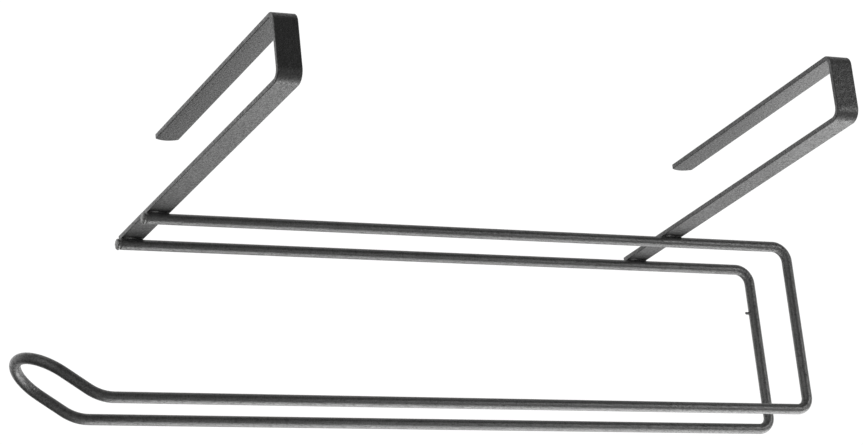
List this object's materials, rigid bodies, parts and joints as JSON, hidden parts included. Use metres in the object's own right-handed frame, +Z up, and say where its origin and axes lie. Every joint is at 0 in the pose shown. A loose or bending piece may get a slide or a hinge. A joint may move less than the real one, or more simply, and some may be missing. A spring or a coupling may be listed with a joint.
{
  "type": "under-shelf paper towel holder",
  "caption": "Hook-on wire holder that carries a kitchen roll under a shelf: flat steel hooks welded to a bent hairpin wire with an upturned open end.",
  "frame": {"origin": "midway between the two hooks, on the shelf's front edge, level with the shelf's upper face", "axes": "+X along the rods towards the closed end, +Y into the shelf, +Z up"},
  "size_m": [0.3501, 0.1774, 0.1051],
  "materials": {
    "coated_wire": "dark grey fine-textured powder coat",
    "coated_strip": "dark grey fine-textured powder coat",
    "coated_weld": "powder coat over a rough weld bead"
  },
  "bodies": {
    "root": {"roll_wire": "coated_wire", "left_shelf_hook": "coated_strip", "right_shelf_hook": "coated_strip", "left_front_weld": "coated_weld", "left_back_weld": "coated_weld", "right_front_weld": "coated_weld", "right_back_weld": "coated_weld", "coating_pip": "coated_wire"}
  },
  "joints": []
}
